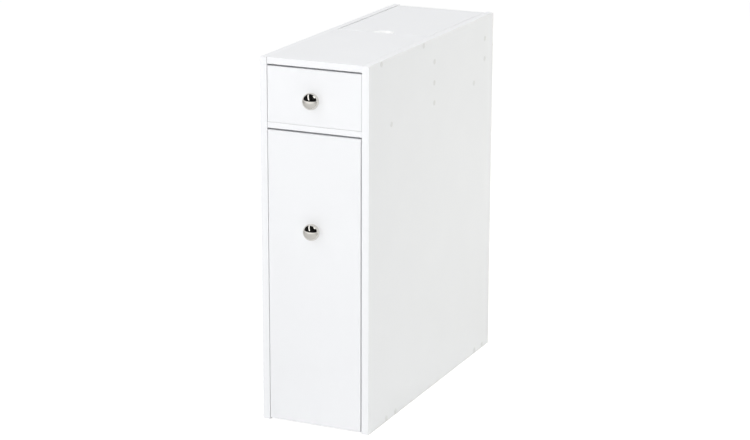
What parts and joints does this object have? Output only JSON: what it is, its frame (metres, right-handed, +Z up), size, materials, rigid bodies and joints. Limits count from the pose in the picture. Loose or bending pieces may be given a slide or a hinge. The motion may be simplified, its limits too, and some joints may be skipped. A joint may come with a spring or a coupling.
{
  "type": "narrow bathroom cabinet",
  "caption": "Slim tall white bathroom cabinet with a small drawer over a tall tiered pull-out, chrome ball knobs and a flip lid over a hidden box.",
  "frame": {"origin": "middle of the floor plan, knobs included, at floor level", "axes": "+X to the right seen from the front, the front faces -Y, +Z up"},
  "size_m": [0.1832, 0.517, 0.58],
  "materials": {
    "white_board": "white melamine faced chipboard with matching edge banding",
    "hardboard": "thin hardboard, white lacquer on the inner face",
    "chrome": "bright chrome plate",
    "cap_plastic": "white moulded caps",
    "coated_steel": "white epoxy coated sheet steel",
    "nylon": "natural moulded nylon",
    "plated_steel": "bright zinc plate",
    "zinc_alloy": "plain die cast zinc",
    "beech": "fluted beech"
  },
  "bodies": {
    "carcass": {"back_board": "hardboard", "bottom_panel": "white_board", "carcass_screws": "plated_steel", "divider_panel": "white_board", "fixed_top_panel": "white_board", "left_side_panel": "white_board", "lid_box_rear_panel": "white_board", "lid_pivot_bushes": "nylon", "lower_front_pins": "plated_steel", "lower_runner_left": "coated_steel", "lower_runner_right": "coated_steel", "middle_shelf": "white_board", "right_side_panel": "white_board", "runner_screws": "plated_steel", "screw_caps": "cap_plastic", "upper_front_pins": "plated_steel", "upper_runner_left": "coated_steel", "upper_runner_right": "coated_steel"},
    "upper_drawer": {"upper_drawer_back": "white_board", "upper_drawer_bottom": "hardboard", "upper_drawer_cam_bolts": "plated_steel", "upper_drawer_cams": "zinc_alloy", "upper_drawer_dowels": "beech", "upper_drawer_front": "white_board", "upper_drawer_left_side": "white_board", "upper_drawer_member_left": "coated_steel", "upper_drawer_member_right": "coated_steel", "upper_drawer_member_screws": "plated_steel", "upper_drawer_right_side": "white_board", "upper_drawer_screws": "plated_steel", "upper_knob": "chrome", "upper_knob_screw": "plated_steel", "upper_rear_pins": "plated_steel"},
    "lower_pullout": {"lower_pullout_back": "white_board", "lower_pullout_bottom": "hardboard", "lower_pullout_cam_bolts": "plated_steel", "lower_pullout_cams": "zinc_alloy", "lower_pullout_dowels": "beech", "lower_pullout_front": "white_board", "lower_pullout_left_guard": "white_board", "lower_pullout_left_side": "white_board", "lower_pullout_member_left": "coated_steel", "lower_pullout_member_right": "coated_steel", "lower_pullout_member_screws": "plated_steel", "lower_pullout_right_guard": "white_board", "lower_pullout_right_side": "white_board", "lower_pullout_screws": "plated_steel", "lower_pullout_tier": "white_board", "lower_knob": "chrome", "lower_knob_screw": "plated_steel", "lower_rear_pins": "plated_steel"},
    "lid": {"lid_panel": "white_board", "lid_pivot_pins": "plated_steel"},
    "upper_front_rollers": {"upper_front_rollers": "nylon"},
    "upper_rear_rollers": {"upper_rear_rollers": "nylon"},
    "lower_front_rollers": {"lower_front_rollers": "nylon"},
    "lower_rear_rollers": {"lower_rear_rollers": "nylon"}
  },
  "joints": [
    {"name": "upper_drawer_slide", "type": "slide", "parent": "carcass", "child": "upper_drawer", "axis": [0, -1, 0], "range_m": [0, 0.15]},
    {"name": "lower_pullout_slide", "type": "slide", "parent": "carcass", "child": "lower_pullout", "axis": [0, -1, 0], "range_m": [0, 0.34]},
    {"name": "lid_flip", "type": "hinge", "parent": "carcass", "child": "lid", "pos_m": [0, 0.2425, 0.57475], "axis": [-1, 0, 0], "range_deg": [0, 95]},
    {"name": "upper_front_roll", "type": "hinge", "parent": "carcass", "child": "upper_front_rollers", "pos_m": [0, -0.2065, 0.49145], "axis": [1, 0, 0], "continuous": true},
    {"name": "upper_rear_roll", "type": "hinge", "parent": "upper_drawer", "child": "upper_rear_rollers", "pos_m": [0, -0.0315, 0.49145], "axis": [1, 0, 0], "continuous": true},
    {"name": "lower_front_roll", "type": "hinge", "parent": "carcass", "child": "lower_front_rollers", "pos_m": [0, -0.2065, 0.02675], "axis": [1, 0, 0], "continuous": true},
    {"name": "lower_rear_roll", "type": "hinge", "parent": "lower_pullout", "child": "lower_rear_rollers", "pos_m": [0, 0.1685, 0.02675], "axis": [1, 0, 0], "continuous": true}
  ],
  "couplings": [
    {"joint": "upper_front_roll", "follows": "upper_drawer_slide", "rad_per_m": 136.99},
    {"joint": "upper_rear_roll", "follows": "upper_drawer_slide", "rad_per_m": 136.99},
    {"joint": "lower_front_roll", "follows": "lower_pullout_slide", "rad_per_m": 136.99},
    {"joint": "lower_rear_roll", "follows": "lower_pullout_slide", "rad_per_m": 136.99}
  ]
}
